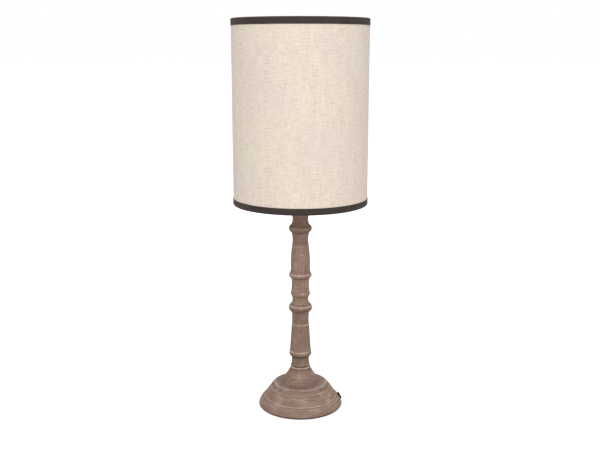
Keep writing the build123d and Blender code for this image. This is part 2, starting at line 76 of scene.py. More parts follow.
bpy.ops.object.camera_add(location=photoView["place"], rotation=(math.radians(photoView["tilt"]), 0, 0))
camera = bpy.context.active_object
camera.name = "photoCamera"
camera.data.sensor_width = photoView["sensor"]
camera.data.lens = photoView["lens"]
camera.data.clip_start = photoView["nearest"]
bpy.context.scene.camera = camera
bpy.context.scene.view_settings.view_transform = "Standard"


def addNode(tree, kind, inputs=None, **settings):
    node = tree.nodes.new("ShaderNode" + kind)
    for key, value in settings.items():
        setattr(node, key, value)
    for key, value in (inputs or {}).items():
        feed(tree, node.inputs[key], value)
    return node


def feed(tree, socket, value):
    if isinstance(value, bpy.types.NodeSocket):
        tree.links.new(value, socket)
    elif isinstance(value, (tuple, list)) and len(value) == 3 and socket.type == "RGBA":
        socket.default_value = (*value, 1.0)
    else:
        socket.default_value = value


def calc(tree, operation, first, second=0.0):
    return addNode(tree, "Math", {0: first, 1: second}, operation=operation).outputs[0]


def times(tree, first, second):
    return calc(tree, "MULTIPLY", first, second)


def mixColors(tree, share, first, second):
    return addNode(tree, "Mix", {0: share, 6: first, 7: second}, data_type="RGBA").outputs[2]


def fade(tree, value, low, high, start=0.0, end=1.0):
    return addNode(tree, "MapRange",
                   {"Value": value, "From Min": low, "From Max": high, "To Min": start, "To Max": end},
                   interpolation_type="SMOOTHSTEP").outputs["Result"]


def newFinish(name, fixed):
    finish = bpy.data.materials.new(name)
    finish.use_nodes = True
    tree = finish.node_tree
    shader = tree.nodes["Principled BSDF"]
    for socket, value in fixed.items():
        feed(tree, shader.inputs[socket], value)
    return finish, tree, shader


def lightRoom():
    world = bpy.data.worlds.new("whiteRoom")
    bpy.context.scene.world = world
    world.use_nodes = True
    tree = world.node_tree
    background = tree.nodes["Background"]
    seen = addNode(tree, "LightPath").outputs["Is Camera Ray"]
    way = addNode(tree, "SeparateXYZ", {0: addNode(tree, "TexCoord").outputs["Generated"]})
    level = addNode(tree, "MapRange",
                    {"Value": way.outputs[2], "From Min": 0.1, "From Max": 0.9,
                     "To Min": studio["sideLevel"], "To Max": studio["topLevel"]})
    aside = fade(tree, calc(tree, "ABSOLUTE", way.outputs[0]), 0.3, 0.95)
    tint = mixColors(tree, aside, white, studio["sideTint"])
    feed(tree, background.inputs["Color"], mixColors(tree, seen, tint, white))
    strength = addNode(tree, "Mix", {0: seen, 2: level.outputs["Result"], 3: 1.0}, data_type="FLOAT")
    feed(tree, background.inputs["Strength"], strength.outputs[0])

    for part in ("key", "fill", "back"):
        place = Vector(studio[part + "Place"])
        aim = Vector(studio["aim"]) - place
        bpy.ops.object.light_add(type="AREA", location=place, rotation=aim.to_track_quat("-Z", "Y").to_euler())
        light = bpy.context.active_object
        light.name = part + "Light"
        light.data.shape = "RECTANGLE"
        light.data.size, light.data.size_y = studio["lightSize"]
        light.data.energy = studio[part + "Power"]


def layFloor():
    bpy.ops.mesh.primitive_plane_add(size=studio["floorSize"], location=(0, 0, 0))
    floor = bpy.context.active_object
    floor.name = "studioFloor"
    fixed = {"Roughness": 0.9, "Specular IOR Level": 0.0, "Emission Color": white}
    paint, tree, shader = newFinish("paleFloor", fixed)
    seen = addNode(tree, "LightPath").outputs["Is Camera Ray"]
    feed(tree, shader.inputs["Emission Strength"], times(tree, seen, studio["floorGlow"]))
    bounce, tone = [(studio[key],) * 3 for key in ("floorBounce", "floorTone")]
    feed(tree, shader.inputs["Base Color"], mixColors(tree, seen, bounce, tone))
    floor.data.materials.append(paint)


lightRoom()
layFloor()
print("camera, floor and light are set")


# small helpers for modelling

def setMode(mode):
    bpy.ops.object.mode_set(mode=mode)


def deselectAll():
    if bpy.context.object and bpy.context.object.mode != "OBJECT":
        setMode("OBJECT")
    bpy.ops.object.select_all(action="DESELECT")


def pick(piece, *others):
    deselectAll()
    for one in (piece, *others):
        one.select_set(True)
    bpy.context.view_layer.objects.active = piece


def applyModifier(piece, kind, **settings):
    pick(piece)
    modifier = piece.modifiers.new(kind.title(), kind)
    for key, value in settings.items():
        setattr(modifier, key, value)
    bpy.ops.object.modifier_apply(modifier=modifier.name)


def applyPlace(rotation=False, scale=False):
    bpy.ops.object.transform_apply(location=True, rotation=rotation, scale=scale)


def addCylinder(sides, radius, length, place, rotation=(0, 0, 0)):
    deselectAll()
    bpy.ops.mesh.primitive_cylinder_add(
        vertices=sides, radius=radius, depth=length, location=place, rotation=rotation)
    return bpy.context.active_object


def cutAway(piece, cutter):
    applyModifier(piece, "BOOLEAN", operation="DIFFERENCE", solver="EXACT", object=cutter)
    bpy.data.objects.remove(cutter)


def faceOutward(piece):
    pick(piece)
    setMode("EDIT")
    bpy.ops.mesh.select_all(action="SELECT")
    bpy.ops.mesh.normals_make_consistent(inside=False)
    setMode("OBJECT")


def dress(piece, body, finish, node, smooth=40):
    pick(piece)
    bpy.ops.object.shade_smooth_by_angle(angle=math.radians(smooth))
    piece.data.materials.clear()
    piece.data.materials.append(finishes[finish])
    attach(piece, body)
    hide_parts(node)


def fromAxis(place):
    return math.hypot(place.x, place.y)


def aroundAxis(radius, angle, height):
    return Vector((radius * math.cos(angle), radius * math.sin(angle), height))


def widen(vertex, share):
    vertex.co.x *= share
    vertex.co.y *= share


def smoothStep(value, low, high):
    share = min(1.0, max(0.0, (value - low) / (high - low)))
    return share * share * (3 - 2 * share)


# outlines are lists of (radius, height) in millimetres; a third number is how far an arc to that
# point stands out, and a third and fourth are a point that the arc goes through

def bulgeThrough(start, via, end):
    chord = (end - start).length
    a, b = (via - start).length, (end - via).length
    area = abs((via - start).cross(end - start)) / 2
    radius = a * b * chord / (4 * area)
    return radius - math.sqrt(radius ** 2 - chord ** 2 / 4)


def arcPoints(start, end, bulge, step):
    chord = end - start
    length = chord.length
    pieces = max(1, math.ceil(length / step))
    outward = Vector((chord.y, -chord.x)) / length
    points = []
    for index in range(1, pieces + 1):
        share = index / pieces
        if abs(bulge) < 1e-6:
            points.append(start + chord * share)
            continue
        radius = (length ** 2 / 4 + bulge ** 2) / (2 * abs(bulge))
        half = math.asin(length / 2 / radius)
        turn = half * (2 * share - 1)
        along = length / 2 + radius * math.sin(turn)
        out = radius * math.cos(turn) - radius + abs(bulge)
        points.append(start + chord * (along / length) + outward * math.copysign(out, bulge))
    return points


def outlinePoints(rows, step):
    points = [Vector(rows[0][:2])]
    for row in rows[1:]:
        start, end = points[-1], Vector(row[:2])
        bulge = 0.0
        if len(row) == 3:
            bulge = row[2]
        elif len(row) == 4:
            bulge = bulgeThrough(start, Vector(row[2:]), end)
        points += arcPoints(start, end, bulge, step)
    return [point * mm for point in points]


def cornerPoints(rows):
    return [Vector(row) * mm for row in rows]


latheMerge = 0.002 * mm


def turnOnLathe(name, path, steps):
    deselectAll()
    first = path[0]
    bpy.ops.mesh.primitive_plane_add(size=mm, location=(first.x, 0, first.y))
    piece = bpy.context.active_object
    piece.name = name
    applyPlace()
    setMode("EDIT")
    bpy.ops.mesh.select_mode(type="VERT")  # a lone corner can only be picked and drawn out in this mode
    bpy.ops.mesh.merge(type="CENTER")
    for last, point in zip(path, path[1:]):
        move = (point.x - last.x, 0, point.y - last.y)
        bpy.ops.mesh.extrude_vertices_move(TRANSFORM_OT_translate={"value": move})
    bpy.ops.mesh.select_all(action="SELECT")
    bpy.ops.mesh.spin(steps=steps, angle=fullTurn, center=(0, 0, 0), axis=(0, 0, 1))
    bpy.ops.mesh.select_all(action="SELECT")
    bpy.ops.mesh.remove_doubles(threshold=latheMerge)
    faceOutward(piece)
    return piece


def cutThread(piece, heights, walls, pitch, depth):
    # right-handed, in millimetres; the crests stay where they were and the roots sink by depth
    bottom, top = [height * mm for height in heights]
    inner, outer = [wall * mm for wall in walls]
    pitch *= mm
    depth *= mm
    for vertex in piece.data.vertices:
        radius, height = fromAxis(vertex.co), vertex.co.z
        if not bottom < height < top or radius < inner or radius > outer:
            continue
        angle = math.atan2(vertex.co.y, vertex.co.x)
        wave = 0.5 - 0.5 * math.cos(fullTurn * (height / pitch - angle / fullTurn))
        runOut = smoothStep(height, bottom, bottom + pitch / 2) * (1 - smoothStep(height, top - pitch / 2, top))
        widen(vertex, (radius - depth * wave * runOut) / radius)
    piece.data.update()


print("modelling helpers are ready")


# finishes

def speckle(tree, place, stretch, detail=3.0, roughness=0.5):
    stretched = addNode(tree, "VectorMath", {0: place, 1: stretch}, operation="MULTIPLY").outputs[0]
    return addNode(tree, "TexNoise",
                   {"Vector": stretched, "Scale": 1.0, "Detail": detail, "Roughness": roughness}).outputs[0]


def addBump(tree, shader, height, distance, strength=1.0):
    bump = addNode(tree, "Bump", {"Height": height, "Distance": distance, "Strength": strength})
    feed(tree, shader.inputs["Normal"], bump.outputs[0])


def layOver(tree, color, mask, low, high, strength, tone):
    # a tone over a colour, where the mask runs from low to high
    return mixColors(tree, times(tree, fade(tree, mask, low, high), strength), color, tone)


def mottledFinish(name, dark, light, stretch, roughness, bump, fixed):
    # one base tone, softly mottled, with a broad and a fine noise
    finish, tree, shader = newFinish(name, fixed)
    place = addNode(tree, "TexCoord").outputs["Object"]
    broad = speckle(tree, place, stretch, 4.0)
    fine = speckle(tree, place, tuple(9 * value for value in stretch), 2.0)
    tone = calc(tree, "ADD", times(tree, broad, 0.65), times(tree, fine, 0.35))
    feed(tree, shader.inputs["Base Color"], mixColors(tree, fade(tree, tone, 0.35, 0.65), dark, light))
    feed(tree, shader.inputs["Roughness"], fade(tree, tone, 0.3, 0.7, *roughness))
    addBump(tree, shader, tone, bump * mm)
    return finish


# dark and light tone, stretch, roughness from and to, bump in millimetres, other sockets
plainLooks = {
    "blackPlastic": ((0.012, 0.012, 0.012), (0.02, 0.02, 0.021), (260, 260, 260), (0.34, 0.46), 0.02, {}),
    "blackRubber": ((0.004, 0.004, 0.004), (0.008, 0.008, 0.008), (420, 420, 420), (0.55, 0.7), 0.04,
                    {"Specular IOR Level": 0.12}),
    "platedSteel": ((0.48, 0.47, 0.43), (0.66, 0.64, 0.58), (150, 150, 150), (0.28, 0.42), 0.01, {"Metallic": 1.0}),
    "brass": ((0.52, 0.36, 0.15), (0.74, 0.55, 0.27), (90, 90, 420), (0.24, 0.4), 0.01, {"Metallic": 1.0}),
    "nickelledBrass": ((0.55, 0.54, 0.5), (0.74, 0.73, 0.69), (60, 60, 300), (0.2, 0.33), 0.008, {"Metallic": 1.0}),
    "solder": ((0.36, 0.37, 0.38), (0.58, 0.58, 0.58), (380, 380, 380), (0.3, 0.5), 0.12, {"Metallic": 1.0}),
    "whiteCeramic": ((0.74, 0.72, 0.67), (0.86, 0.85, 0.81), (300, 300, 300), (0.5, 0.7), 0.03, {}),
    "blackGlass": ((0.006, 0.004, 0.009), (0.02, 0.014, 0.024), (200, 200, 200), (0.06, 0.14), 0.05, {}),
    "whiteEnamel": ((0.76, 0.76, 0.73), (0.86, 0.86, 0.84), (900, 900, 900), (0.3, 0.42), 0.03, {}),
    "whiteLining": ((0.84, 0.825, 0.79), (0.88, 0.87, 0.84), (60, 60, 75), (0.42, 0.52), 0.015, {}),
    "opalGlass": ((0.86, 0.85, 0.81), (0.92, 0.91, 0.88), (30, 30, 30), (0.16, 0.24), 0.01,
                  {"Coat Weight": 0.5, "Coat Roughness": 0.05}),
}
finishes = {name: mottledFinish(name, *look) for name, look in plainLooks.items()}


def feltFinish():
    fixed = {"Sheen Weight": 0.35, "Sheen Roughness": 0.6, "Roughness": 0.95}
    finish, tree, shader = newFinish("blackFelt", fixed)
    place = addNode(tree, "TexCoord").outputs["Object"]
    hairs = speckle(tree, place, (1600, 1600, 1600), 5.0, 0.7)
    clumps = speckle(tree, place, (140, 140, 140), 3.0)
    tone = calc(tree, "ADD", times(tree, hairs, 0.6), times(tree, clumps, 0.4))
    color = mixColors(tree, fade(tree, tone, 0.35, 0.65), (0.012, 0.011, 0.011), (0.05, 0.046, 0.045))
    feed(tree, shader.inputs["Base Color"], color)
    addBump(tree, shader, hairs, 0.25 * mm)
    return finish


def washedWood(name, look):
    # brown stain under a grey wash, drawn round by the turning tool, rubbed back on the ridges, darkened in the
    # grooves and listed rings by dirt and painted shade
    fixed = {"Specular IOR Level": 0.22, "Coat Weight": 0.1, "Coat Roughness": 0.34}
    finish, tree, shader = newFinish(name, fixed)
    place = addNode(tree, "TexCoord").outputs["Object"]
    apart = addNode(tree, "SeparateXYZ", {0: place})
    flat = addNode(tree, "CombineXYZ", {0: apart.outputs[0], 1: apart.outputs[1], 2: 0.0}).outputs[0]
    around = addNode(tree, "VectorMath", {0: flat}, operation="NORMALIZE").outputs[0]
    turned, ridge, dirtAndShade = [addNode(tree, "Attribute", attribute_name=mark).outputs["Fac"] for mark in woodMarks]
    way = addNode(tree, "SeparateXYZ", {0: around})
    # runs round the piece: two numbers for the direction and one for the way along the outline
    lathe = addNode(tree, "CombineXYZ", {0: way.outputs[0], 1: way.outputs[1], 2: turned}).outputs[0]

    spread = look["lineSpread"]
    broad = speckle(tree, place, look["patchScale"], 3.0, 0.55)
    other = speckle(tree, place, tuple(0.73 * value + 3.1 for value in look["patchScale"]), 3.0, 0.55)
    grain = speckle(tree, place, look["grainScale"], 5.0, 0.62)
    fineLines = speckle(tree, lathe, (spread, spread, look["fineLines"]), 4.0, 0.6)
    wideLines = speckle(tree, lathe, (0.6 * spread, 0.6 * spread, look["wideLines"]), 3.0, 0.55)
    pores = speckle(tree, place, look["poreScale"], 2.0, 0.5)
    washPatch = speckle(tree, lathe, look["washScale"], 3.0, 0.6)

    color = mixColors(tree, fade(tree, broad, 0.42, 0.62), look["brown"], look["redBrown"])
    for mask, low, high, strength, tone in (
            (other, 0.46, 0.66, "oliveShare", "olive"), (grain, 0.44, 0.66, "grainWash", "wash"),
            (wideLines, 0.48, 0.66, "lineWash", "wash"), (fineLines, 0.54, 0.68, "fineWash", "paleWash"),
            (fineLines, 0.46, 0.34, "scratchDepth", "dirtAndShadeTone"), (pores, 0.6, 0.7, "poreDepth", "dirtAndShadeTone")):
        color = layOver(tree, color, mask, low, high, look[strength], look[tone])
    patches = times(tree, fade(tree, washPatch, 0.5, 0.66), look["patchWash"])
    patches = times(tree, patches, fade(tree, fineLines, 0.38, 0.6))
    color = mixColors(tree, patches, color, look["paleWash"])
    # painted shade: grooves and listed rings take the dark tone, partly real dirt and partly painted shade under
    # beads, in recesses and under the shade
    dirtAndShadeShare = times(tree, dirtAndShade, fade(tree, wideLines, 0.25, 0.6, 0.55, 1.0))
    color = mixColors(tree, dirtAndShadeShare, color, look["dirtAndShadeTone"])
    broken = times(tree, ridge, fade(tree, broad, 0.3, 0.6, 0.45, 1.0))
    broken = times(tree, broken, fade(tree, fineLines, 0.3, 0.55, 0.6, 1.0))
    color = mixColors(tree, broken, color, look["rubbed"])
    feed(tree, shader.inputs["Base Color"], color)
    feed(tree, shader.inputs["Roughness"], fade(tree, wideLines, 0.3, 0.7, 0.5, 0.68))
    height = calc(tree, "ADD", times(tree, fineLines, 0.6), times(tree, grain, 0.4))
    height = calc(tree, "SUBTRACT", height, times(tree, fade(tree, pores, 0.6, 0.7), 0.35))
    addBump(tree, shader, height, look["bump"])
    return finish


woodMarks = ("turned", "ridge", "dirtAndShade")  # each point's way along the outline, rub, and darkening that is part dirt and part painted shade
woodLook = {
    "brown": (0.236, 0.152, 0.115),
    "redBrown": (0.225, 0.121, 0.09),
    "olive": (0.25, 0.185, 0.125),
    "wash": (0.32, 0.232, 0.187),
    "paleWash": (0.45, 0.352, 0.284),
    "rubbed": (0.66, 0.54, 0.43),
    # dark tone for dirt in scratches and pores, and for painted shade in grooves and rings
    "dirtAndShadeTone": (0.1, 0.06, 0.042),
    "patchScale": (24, 24, 30),
    "grainScale": (60, 620, 620),
    "poreScale": (90, 1500, 1500),
    "washScale": (2.2, 2.2, 62),
    "lineSpread": 2.6,
    "fineLines": 1150,
    "wideLines": 330,
    "oliveShare": 0.75,
    "patchWash": 0.6,
    "grainWash": 0.35,
    "lineWash": 0.6,
    "fineWash": 0.55,
    "scratchDepth": 0.45,
    "poreDepth": 0.3,
    "bump": 0.14 * mm,
}
finishes["footWood"] = washedWood("footWood", woodLook)
finishes["columnWood"] = washedWood("columnWood", {
    **woodLook,
    "brown": (0.25, 0.16, 0.118),
    "redBrown": (0.242, 0.128, 0.092),
    "patchScale": (52, 52, 16),
    "grainScale": (430, 430, 26),
    "poreScale": (1300, 1300, 60),
    "washScale": (1.1, 1.1, 40),
    "lineSpread": 1.6,
    "patchWash": 0.45,
    "grainWash": 0.55,
    "lineWash": 0.28,
    "fineWash": 0.2,
    "scratchDepth": 0.2,
    "poreDepth": 0.45,
})


def clothFinish(name, look):
    # reads the flat cloth's own map in metres: first number along the thread round the shade
    finish, tree, shader = newFinish(name, look["fixed"])
    cloth = addNode(tree, "UVMap", uv_map="cloth").outputs[0]
    sway = addNode(tree, "TexNoise", {"Vector": cloth, "Scale": 260.0, "Detail": 2.0})
    sway = addNode(tree, "VectorMath", {0: sway.outputs[1], 1: (0.5, 0.5, 0.5)}, operation="SUBTRACT")
    sway = addNode(tree, "VectorMath", {0: sway.outputs[0], "Scale": look["sway"]}, operation="SCALE")
    swayed = addNode(tree, "VectorMath", {0: cloth, 1: sway.outputs[0]}, operation="ADD").outputs[0]
    apart = addNode(tree, "SeparateXYZ", {0: swayed})
    weave, upWave = [calc(tree, "SINE", times(tree, apart.outputs[index], fullTurn / look[pitch]))
                     for index, pitch in enumerate(("warpPitch", "weftPitch"))]
    if look["plainWeave"]:
        weave = times(tree, weave, upWave)
    height = fade(tree, weave, -1.0, 1.0)

    blotch = speckle(tree, cloth, look["blotchScale"], 3.0)
    bands = speckle(tree, cloth, look["bandScale"], 2.0)
    blotch = calc(tree, "ADD", times(tree, blotch, 0.45), times(tree, bands, 0.55))
    color = mixColors(tree, fade(tree, blotch, 0.38, 0.62), look["tone"], look["otherTone"])
    weft, warp = [speckle(tree, cloth, look[slub], 2.0, 0.6) for slub in ("weftSlub", "warpSlub")]
    for thread, strength in ((weft, look["weftShade"]), (warp, look["warpShade"])):
        color = layOver(tree, color, thread, 0.5, 0.75, strength, look["pale"])
        color = layOver(tree, color, thread, 0.5, 0.25, strength, look["deep"])
    color = layOver(tree, color, height, 0.45, 0.0, look["gap"], look["deep"])
    feed(tree, shader.inputs["Base Color"], color)
    slubs = times(tree, calc(tree, "ADD", weft, warp), look["slubHeight"])
    addBump(tree, shader, calc(tree, "ADD", height, slubs), look["bump"])
    return finish


finishes["naturalLinen"] = clothFinish("naturalLinen", {
    "fixed": {"Roughness": 0.85, "Sheen Weight": 0.25, "Sheen Roughness": 0.5, "Specular IOR Level": 0.25},
    "tone": (0.85, 0.782, 0.642),
    "otherTone": (0.84, 0.716, 0.645),
    "blotchScale": (16, 11, 1),
    "bandScale": (95, 8, 1),
    "pale": (0.96, 0.89, 0.79),
    "deep": (0.56, 0.44, 0.34),
    "warpPitch": 0.62 * mm,
    "weftPitch": 0.56 * mm,
    "sway": 0.35 * mm,
    "plainWeave": True,
    "weftSlub": (75, 760, 1),
    "warpSlub": (760, 60, 1),
    "weftShade": 0.56,
    "warpShade": 0.38,
    "gap": 0.4,
    "slubHeight": 0.8,
    "bump": 0.12 * mm,
})
finishes["darkRibbon"] = clothFinish("darkRibbon", {
    "fixed": {"Roughness": 0.58, "Sheen Weight": 0.04, "Sheen Roughness": 0.4, "Specular IOR Level": 0.2},
    "blotchScale": (16, 11, 1),
    "bandScale": (60, 20, 1),
    "tone": (0.055, 0.04, 0.034),
    "otherTone": (0.048, 0.04, 0.035),
    "pale": (0.085, 0.07, 0.062),
    "deep": (0.018, 0.013, 0.011),
    "warpPitch": 0.8 * mm,
    "weftPitch": 0.3 * mm,
    "sway": 0.08 * mm,
    "plainWeave": False,
    "weftSlub": (25, 700, 1),
    "warpSlub": (420, 60, 1),
    "weftShade": 0.3,
    "warpShade": 0.3,
    "gap": 0.5,
    "slubHeight": 0.3,
    "bump": 0.1 * mm,
})
finishes["blackFelt"] = feltFinish()
print("finishes are mixed")


# turned wood

woodSteps = {"along": 0.42, "round": 180}  # millimetres along the outline, faces round the piece
# sizes in millimetres; a bend is 0 along a straight and 1 on a square corner
wearLook = {
    "bendReach": 0.9, "ridgeBend": (0.16, 0.62), "grooveBend": (0.14, 0.6), "dentBend": 0.12,
    "dentSize": (0.8, 2.4), "dentDepth": (0.08, 0.32), "dentRub": 0.45, "outlineReach": 0.3,
}


def markRows(path):
    # how far along the outline each point is, and how sharply it stands out (above 0) or sinks in
    reach = max(1, round(wearLook["bendReach"] / woodSteps["along"]))
    rows = []
    along = 0.0
    for index, point in enumerate(path):
        if index:
            along += (point - path[index - 1]).length
        before = point - path[max(0, index - reach)]
        after = path[min(len(path) - 1, index + reach)] - point
        relief = 0.0
        if before.length > 0 and after.length > 0:
            relief = before.cross(after) / (before.length * after.length)
        rows.append((point, along, relief))
    return rows

def chooseDents(rows, look):
    dice = random.Random(look["seed"])
    dents = []
    while len(dents) < look["dents"]:
        point, along, relief = dice.choice(rows)
        if relief > wearLook["dentBend"]:
            center = aroundAxis(point.x, dice.uniform(0, fullTurn), point.y)
            size = dice.uniform(*wearLook["dentSize"]) * mm
            dents.append((center, size, dice.uniform(*wearLook["dentDepth"]) * mm))
    tree = kdtree.KDTree(len(dents))
    for index, dent in enumerate(dents):
        tree.insert(dent[0], index)
    tree.balance()
    return dents, tree


def ringShare(rings, height):
    return max(strength * (1 - smoothStep(abs(height - middle) / width, 0.4, 1.2))
               for middle, strength, width in rings)


def chipShare(chips, place):
    share = 0.0
    for azimuth, height, long, thick, slope, strength in chips:
        turn = math.atan2(place.y, place.x) - math.radians(azimuth)
        chip = Vector((math.remainder(turn, fullTurn) * fromAxis(place) / mm, place.z / mm - height))
        chip.rotate(Matrix.Rotation(-math.radians(slope), 2))
        offset = Vector((chip.x / long, chip.y / thick)).length
        share = max(share, strength * (1 - smoothStep(offset, 0.45, 1.0)))
    return share


def weatherWood(piece, rows, look):
    # writes where the outline runs, where it is rubbed and where it is darkened by dirt and painted shade, then
    # dents the surface
    tree = kdtree.KDTree(len(rows))
    for index, row in enumerate(rows):
        tree.insert((row[0].x, row[0].y, 0), index)
    tree.balance()
    mesh = piece.data
    turned, ridge, dirtAndShade = [mesh.attributes.new(mark, "FLOAT", "POINT") for mark in woodMarks]
    dents, dentTree = chooseDents(rows, look)
    for vertex in mesh.vertices:
        place = vertex.co.copy()
        radius, height = fromAxis(place), place.z / mm
        index, distance = tree.find((radius, place.z, 0))[1:]
        if distance > wearLook["outlineReach"] * mm:
            continue
        along, relief = rows[index][1:]
        # grooves are darkened, part real dirt and part painted shade in the recess
        dirtAndShadeShare = look["grooveDirtAndShade"] * smoothStep(-relief, *wearLook["grooveBend"])
        rubbed = look["ridgeRub"] * smoothStep(relief, *wearLook["ridgeBend"])
        rubbed = max(rubbed, ringShare(look["rubbedRings"], height), chipShare(look["chips"], place))
        rubbed *= smoothStep(height, look["rubFrom"] - 1, look["rubFrom"])
        shrink = look["ripple"] * mm * noise.noise(Vector((place.x * 12, place.y * 12, along * 420)))
        shrink += look["wander"] * mm * noise.noise(place * 70)
        for center, index, distance in dentTree.find_range(place, wearLook["dentSize"][1] * mm):
            size, depth = dents[index][1:]
            if distance < size:
                share = 1 - smoothStep(distance, 0, size)
                shrink -= depth * share
                rubbed = max(rubbed, wearLook["dentRub"] * share)
        turned.data[vertex.index].value = along
        ridge.data[vertex.index].value = rubbed * (0.75 + 0.5 * noise.noise(place * 160))
        dirtAndShade.data[vertex.index].value = max(dirtAndShadeShare, ringShare(look["dirtAndShadeRings"], height))
        widen(vertex, 1 + shrink / radius)
    mesh.update()


footRows = [
    (64.1, 1.5), (64.9, 2.3), (59.2, 13.1, 0.9), (56.8, 14), (56, 15.8), (45.2, 31.6, 0.2),
    (43.3, 33.8), (39.5, 36.7, 0.35), (38.2, 37.35, 0.1), (31.6, 38.2), (29.2, 39.4, -0.25), (15.6, 60, -0.4),
    (14.9, 60.8), (15.5, 61.6), (15.5, 62.6), (14.9, 63.2),
]
footUnder = [(5.5, 49.7), (5.5, 19.5), (22, 19.5), (22, 1.5)]
footSocket = [(10, 63.2), (10, 49.7), (5.5, 49.7)]
footLook = {
    "seed": 11, "dents": 60, "ripple": 0.05, "wander": 0.1,
    # height, strength, half width
    "rubbedRings": [(36.75, 0.6, 0.5), (30.9, 0.35, 0.5), (15.6, 0.75, 0.6), (62.3, 1, 1.3)],
    # darkened rings, part dirt and part painted shade: 1.8 is a painted contact shadow along the foot's bottom
    # edge, and 38.8, 42 and 46 paint shade into the trough at the foot of the cone
    "dirtAndShadeRings": [(33.8, 0.26, 2.6), (38.8, 0.5, 1.9), (42, 0.38, 3.5), (46, 0.2, 4), (57.5, 0.3, 2.5),
                  (60.1, 0.8, 1.1), (1.8, 1, 2.2)],
    "chips": [], "grooveDirtAndShade": 0.42, "ridgeRub": 0.75, "rubFrom": 4,
}
cableLook = {
    "azimuth": math.radians(5),  # the bush's side of the foot
    "axis": (0.8812149, 0.0770963, 0.4663866), "seat": (60.768, 5.3165, 10.2),
    # radius, length and place along the axis
    "holes": [(4.2, 12, -6), (5.5, 4.8, 2.4)],
    "channelRadius": 5 * mm, "channelDepth": 16 * mm, "channelMiddle": 1.5 * mm,
    "channelStart": 10 * mm, "channelEnd": 49 * mm,
}


def cutCableWay(foot):
    # cable channel under the foot, and the hole with its flat for the bush
    look = cableLook
    middle = (look["channelEnd"], 0, look["channelMiddle"])
    channel = addCylinder(48, look["channelRadius"], look["channelDepth"], middle)
    applyPlace()
    for vertex in channel.data.vertices:
        if vertex.co.x < look["channelEnd"]:
            vertex.co.x = look["channelStart"]
        x, y = vertex.co.x, vertex.co.y
        vertex.co.x = x * math.cos(look["azimuth"]) - y * math.sin(look["azimuth"])
        vertex.co.y = x * math.sin(look["azimuth"]) + y * math.cos(look["azimuth"])
    cutAway(foot, channel)
    axis, seat = Vector(look["axis"]), Vector(look["seat"]) * mm
    tilt = axis.to_track_quat("Z", "Y").to_euler()
    for radius, length, place in look["holes"]:
        cutAway(foot, addCylinder(64, radius * mm, length * mm, seat + axis * place * mm, tilt))


def makeFoot():
    outside = outlinePoints(footRows, woodSteps["along"])
    path = cornerPoints(footUnder) + outside + cornerPoints(footSocket)
    foot = turnOnLathe("turnedFoot", path, woodSteps["round"])
    weatherWood(foot, markRows(outside), footLook)
    cutCableWay(foot)
    dress(foot, "stand", "footWood", "foot")


columnRows = [
    (14.4, 63.2), (14.3, 66), (13.9, 79, -0.75),
    (17.3, 85, 16.6, 81.8), (17.1, 87.6), (16.4, 88.8), (13.6, 128.8, -0.15), (13.7, 131.2), (13, 132.2),
    (13.2, 149, -0.4), (15.3, 152.2, -0.3), (16, 162.8, 18.1, 158), (12.5, 168.8, -0.7),
    (13, 176, -0.45), (14.2, 177.6), (14.5, 181, 0.3), (13.8, 202.8, -0.8),
    (16.2, 206.2, -0.3), (17.5, 208.4, 0.3), (17.3, 210.4), (14.7, 219.6, -0.6), (14.2, 243, 0.3),
    (12, 261, 0.1), (13.5, 275.9, -0.5), (14.3, 287.3, 17.5, 281.5), (13.2, 289),
    (12.5, 301, -0.95), (17.5, 312, -1), (17.5, 315), (16.5, 316),
]
columnSpigot = [(5.5, 50.2), (10, 50.2), (10, 63.2)]
columnBore = [(5.5, 316), (5.5, 50.2)]
columnLook = {
    "seed": 23, "dents": 60, "ripple": 0.04, "wander": 0.12,
    "grooveDirtAndShade": 1.0, "ridgeRub": 1.0, "rubFrom": 0.0,
    "rubbedRings": [(88.2, 1, 0.9), (131.6, 0.6, 0.9), (161, 0.6, 1.5), (211.4, 0.95, 0.85), (237, 0.1, 20),
                    (255.2, 0.4, 1.6), (283, 0.35, 1.4), (288.5, 0.35, 0.8)],
    # darkened rings, part dirt and part painted shade: 80.6, 154.6 and 277 paint shade under the beads, 284 and 299
    # paint the shade's shadow over the column's top, 64.4 is the dark joint over the foot, and the others are
    # darker bands
    "dirtAndShadeRings": [(64.4, 0.9, 1.6), (72.5, 0.4, 7), (80.6, 0.85, 4.2), (120, 0.22, 34), (143, 0.42, 11),
                  (154.6, 0.76, 4.4), (163.4, 0.4, 1.1), (177.2, 0.6, 1.3), (189.7, 0.25, 0.9), (206, 0.65, 2),
                  (260.6, 0.3, 1.2), (277, 0.55, 3), (284, 0.14, 9), (289.6, 0.3, 1.2), (299, 0.16, 4)],
    # azimuth, height, half length, half thickness, slope, strength
    "chips": [(-79, 181.7, 4.2, 1.1, 20, 1), (-78, 243, 2.6, 1.2, 0, 0.9), (-73, 248.8, 1.6, 1, 0, 0.7),
              (-30, 187, 2.6, 1.3, -15, 0.7), (-143, 186, 2.8, 1.6, 30, 0.55),
              (-122, 192, 3.2, 0.8, 0, 0.5), (-112, 252.5, 3, 0.9, 0, 0.35), (-95, 158.5, 4, 1, 0, 0.5),
              (38, 172, 3, 1, 10, 0.7), (95, 236, 2.4, 1.2, 60, 0.6), (150, 118, 4, 1, 75, 0.5),
              (170, 205, 3, 1.4, -20, 0.7)],
}


def makeColumn():
    outside = outlinePoints(columnRows, woodSteps["along"])
    path = cornerPoints(columnSpigot) + outside + cornerPoints(columnBore)
    column = turnOnLathe("turnedColumn", path, woodSteps["round"] * 2 // 3)
    weatherWood(column, markRows(outside), columnLook)
    dress(column, "stand", "columnWood", "column")


feltLook = {"lift": 0.05, "edge": 0.6, "topEdge": 0.4, "fuzz": 0.12 * mm, "fuzzFrom": 60 * mm, "segments": 240}


